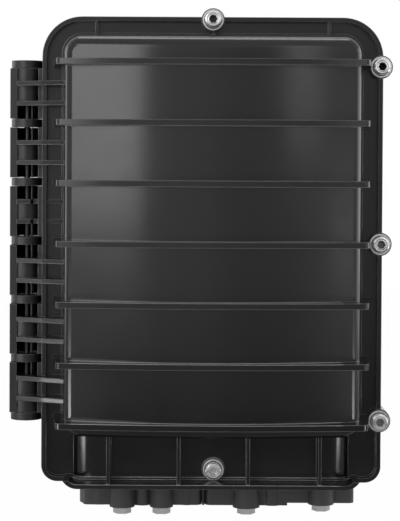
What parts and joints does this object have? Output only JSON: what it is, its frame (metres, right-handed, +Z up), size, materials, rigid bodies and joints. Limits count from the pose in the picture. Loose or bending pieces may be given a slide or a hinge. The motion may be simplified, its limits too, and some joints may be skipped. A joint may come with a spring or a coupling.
{
  "type": "fibre splice closure",
  "caption": "Wall-mounted fibre splice closure: ribbed black box with a hinged domed cover held by bolts, tipping splice trays inside and sealed cable glands at its lower end.",
  "frame": {"origin": "middle of the four wall fixing inserts, in the wall plane at the back of the feet", "axes": "+X to the right seen from the front, +Y into the wall, +Z up away from the cable ports; the cover faces -Y"},
  "size_m": [0.3094, 0.152, 0.4154],
  "materials": {
    "shell_plastic": "semi gloss moulded black",
    "gasket_rubber": "matt",
    "seal_rubber": "matt",
    "plug_plastic": "satin",
    "cover_bolt_steel": "bright",
    "gland_steel": "bright",
    "rod_steel": "ground",
    "insert_brass": "turned",
    "plate_plastic": "satin",
    "chassis_metal": "satin",
    "screw_steel": "bright",
    "tray_plastic": "satin",
    "holder_plastic": "satin",
    "lid_plastic": "clear",
    "clamp_plastic": "satin",
    "anchor_brass": "satin"
  },
  "bodies": {
    "base": {"base_shell": "shell_plastic", "cover_gasket": "gasket_rubber", "hinge_rod": "rod_steel", "hinge_rod_plug": "plug_plastic", "cover_bolt_inserts": "insert_brass", "mount_inserts": "insert_brass", "seal_block_left": "seal_rubber", "seal_block_right": "seal_rubber", "outer_gland_plate_left": "shell_plastic", "outer_gland_plate_right": "shell_plastic", "inner_gland_plate_left": "plate_plastic", "inner_gland_plate_right": "plate_plastic", "gland_bolts": "gland_steel", "gland_nuts": "gland_steel", "port_plugs": "plug_plastic", "chassis_plate": "chassis_metal", "chassis_screws": "screw_steel", "tray_bracket": "chassis_metal", "tray_bracket_screws": "screw_steel", "clamp_rail": "chassis_metal", "cable_clamps": "clamp_plastic", "clamp_screws": "screw_steel", "strength_anchors": "anchor_brass", "anchor_screws": "screw_steel", "bonding_bar": "anchor_brass", "bonding_screws": "screw_steel", "fibre_guides": "clamp_plastic"},
    "cover": {"cover_shell": "shell_plastic", "cover_bolt_washers": "cover_bolt_steel"},
    "bolt_top": {"cover_bolt_top": "cover_bolt_steel"},
    "bolt_side_upper": {"cover_bolt_side_upper": "cover_bolt_steel"},
    "bolt_side_middle": {"cover_bolt_side_middle": "cover_bolt_steel"},
    "bolt_side_lower": {"cover_bolt_side_lower": "cover_bolt_steel"},
    "bolt_port_end": {"cover_bolt_port_end": "cover_bolt_steel"},
    "tray_1": {"splice_tray_1": "tray_plastic", "splice_holder_1": "holder_plastic"},
    "tray_2": {"splice_tray_2": "tray_plastic", "splice_holder_2": "holder_plastic"},
    "tray_3": {"splice_tray_3": "tray_plastic", "splice_holder_3": "holder_plastic"},
    "tray_4": {"splice_tray_4": "tray_plastic", "splice_holder_4": "holder_plastic", "tray_lid": "lid_plastic"}
  },
  "joints": [
    {"name": "cover_hinge", "type": "hinge", "parent": "base", "child": "cover", "pos_m": [-0.1513, -0.08215, 0], "axis": [0, 0, -1], "range_deg": [0, 170]},
    {"name": "bolt_top_slide", "type": "slide", "parent": "cover", "child": "bolt_top", "axis": [0, -1, 0], "range_m": [0, 0.014]},
    {"name": "bolt_side_upper_slide", "type": "slide", "parent": "cover", "child": "bolt_side_upper", "axis": [0, -1, 0], "range_m": [0, 0.014]},
    {"name": "bolt_side_middle_slide", "type": "slide", "parent": "cover", "child": "bolt_side_middle", "axis": [0, -1, 0], "range_m": [0, 0.014]},
    {"name": "bolt_side_lower_slide", "type": "slide", "parent": "cover", "child": "bolt_side_lower", "axis": [0, -1, 0], "range_m": [0, 0.014]},
    {"name": "bolt_port_end_slide", "type": "slide", "parent": "cover", "child": "bolt_port_end", "axis": [0, -1, 0], "range_m": [0, 0.014]},
    {"name": "tray_1_tip", "type": "hinge", "parent": "base", "child": "tray_1", "pos_m": [0, -0.038, -0.062], "axis": [1, 0, 0], "range_deg": [0, 22.5]},
    {"name": "tray_2_tip", "type": "hinge", "parent": "base", "child": "tray_2", "pos_m": [0, -0.05, -0.072], "axis": [1, 0, 0], "range_deg": [0, 45]},
    {"name": "tray_3_tip", "type": "hinge", "parent": "base", "child": "tray_3", "pos_m": [0, -0.062, -0.082], "axis": [1, 0, 0], "range_deg": [0, 67.5]},
    {"name": "tray_4_tip", "type": "hinge", "parent": "base", "child": "tray_4", "pos_m": [0, -0.074, -0.092], "axis": [1, 0, 0], "range_deg": [0, 90]}
  ],
  "couplings": [
    {"joint": "tray_1_tip", "follows": "cover_hinge", "ratio": 0.1323},
    {"joint": "tray_2_tip", "follows": "cover_hinge", "ratio": 0.2646},
    {"joint": "tray_3_tip", "follows": "cover_hinge", "ratio": 0.3969},
    {"joint": "tray_4_tip", "follows": "cover_hinge", "ratio": 0.5292}
  ]
}
